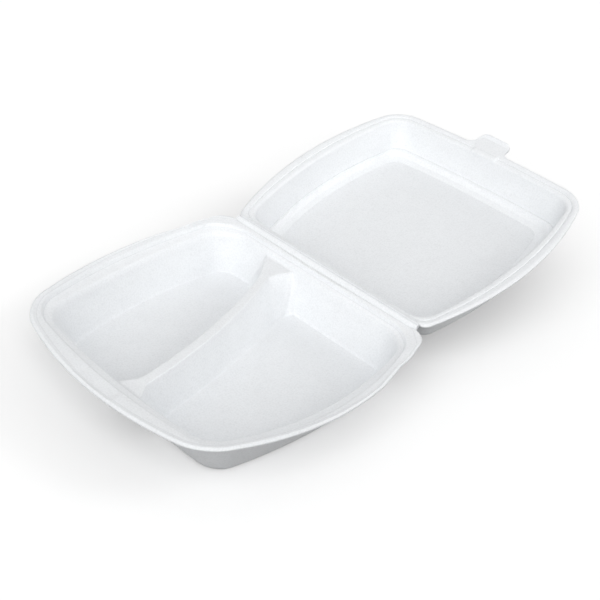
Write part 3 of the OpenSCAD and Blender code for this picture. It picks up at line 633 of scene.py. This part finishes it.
def foam(name, look):
    mat = bpy.data.materials.new(name)
    mat.use_nodes = True
    tree = mat.node_tree
    surface = tree.nodes["Principled BSDF"]
    surface.inputs["Specular IOR Level"].default_value = look["specular"]
    surface.inputs["Subsurface Weight"].default_value = look["glow"]
    surface.inputs["Subsurface Radius"].default_value = (1, 1, 1)
    surface.inputs["Subsurface Scale"].default_value = look["glowDepth"]
    use = node(tree, "ShaderNodeGroup", node_tree=cells, Scale=look["scale"], Mottle=look["mottle"],
               Roughness=look["roughness"], Shade=look["paintedShade"][name], Tint=(*look["tint"], 1))
    relief = node(tree, "ShaderNodeBump", Strength=look["bump"], Distance=look["relief"])
    wire(tree, use, "Color", surface, "Base Color")
    wire(tree, use, "Roughness", surface, "Roughness")
    wire(tree, use, "Height", relief, "Height")
    wire(tree, relief, "Normal", surface, "Normal")
    return mat


trayPiece = (trayMesh, "base_tray", "tray", "tray_foam")
lidPiece = (lidMesh, "lid", "lid", "lid_foam")
for obj, solid, body, slot in (trayPiece, lidPiece):
    obj.data.materials.append(foam(slot, foamLook))
    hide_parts(solid)
    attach(obj, body)
print("foam laid on")


def backdropRays(tree):
    # 1 for the rays that show the background: seen, mirrored or through glass
    path = node(tree, "ShaderNodeLightPath")
    mirrored = combine(tree, "MAXIMUM", (path, "Is Camera Ray"), (path, "Is Glossy Ray"))
    return combine(tree, "MAXIMUM", (mirrored, 0), (path, "Is Transmission Ray"))


# floor and sky, in metres, with the shares of white that they show and give
stage = {
    "size": 8, "drop": 0.0004, "roughness": 0.9,
    "floor": 0.97, "bounce": 0.1, "lift": 0.17, "sky": 0.475,
}
bpy.ops.mesh.primitive_plane_add(size=stage["size"], location=(0, 0, -stage["drop"]))
floor = bpy.context.object
floor.name = "floor"
floorMat = bpy.data.materials.new("floor")
floorMat.use_nodes = True
floorTree = floorMat.node_tree
ground = floorTree.nodes["Principled BSDF"]
ground.inputs["Roughness"].default_value = stage["roughness"]
ground.inputs["Specular IOR Level"].default_value = 0.0
ground.inputs["Emission Color"].default_value = (1, 1, 1, 1)
shown = backdropRays(floorTree)
pale = node(floorTree, "ShaderNodeMapRange", To_Min=stage["bounce"], To_Max=stage["floor"])
wire(floorTree, shown, 0, pale, "Value")
wire(floorTree, pale, "Result", ground, "Base Color")
wire(floorTree, combine(floorTree, "MULTIPLY", (shown, 0), stage["lift"]), 0, ground, "Emission Strength")
floor.data.materials.append(floorMat)

world = bpy.data.worlds.new("sky")
bpy.context.scene.world = world
world.use_nodes = True
skyTree = world.node_tree
sky = skyTree.nodes["Background"]
sky.inputs["Color"].default_value = (1, 1, 1, 1)
seen = node(skyTree, "ShaderNodeMapRange", To_Min=stage["sky"])
wire(skyTree, backdropRays(skyTree), 0, seen, "Value")
wire(skyTree, seen, "Result", sky, "Strength")

# level is the share of plain white that a lamp gives a surface facing it
lamps = {
    "key": {"azimuth": 30, "elevation": 38, "level": 0.575, "softness": 80},
    "rear": {"azimuth": 140, "elevation": 32, "level": 0.13, "softness": 20},
}


def towards(azimuth, elevation):
    a, e = math.radians(azimuth), math.radians(elevation)
    return Vector((math.sin(a) * math.cos(e), -math.cos(a) * math.cos(e), math.sin(e)))


def lamp(name, azimuth, elevation, level, softness):
    data = bpy.data.lights.new(name, "SUN")
    data.energy = level * math.pi
    data.angle = math.radians(softness)
    obj = bpy.data.objects.new(name, data)
    obj.rotation_euler = towards(azimuth, elevation).to_track_quat("Z", "Y").to_euler()
    bpy.context.collection.objects.link(obj)


for name, values in lamps.items():
    lamp(name, **values)

# the camera, in metres, with its focal length in pixels of the square picture
view = {
    "azimuth": 39.998, "elevation": 35.07, "roll": 7.296, "distance": 0.75344,
    "aim": (0.01857, -0.04439, 0.043), "focal": 1031.88, "pixels": 600, "sensor": 36, "near": 0.05,
}
azimuth, roll = math.radians(view["azimuth"]), math.radians(view["roll"])
back = towards(view["azimuth"], view["elevation"])
level = Vector((math.cos(azimuth), math.sin(azimuth), 0))
upright = back.cross(level)
right = level * math.cos(roll) + upright * math.sin(roll)
up = upright * math.cos(roll) - level * math.sin(roll)
lens = bpy.data.cameras.new("camera")
lens.sensor_width = view["sensor"]
lens.lens = view["focal"] * view["sensor"] / view["pixels"]
lens.clip_start = view["near"]
camera = bpy.data.objects.new("camera", lens)
turn = Matrix((right, up, back)).transposed().to_4x4()
camera.matrix_world = Matrix.Translation(Vector(view["aim"]) + back * view["distance"]) @ turn
bpy.context.collection.objects.link(camera)
bpy.context.scene.camera = camera
bpy.context.scene.view_settings.view_transform = "Standard"
print("stage set")

bpy.context.view_layer.update()
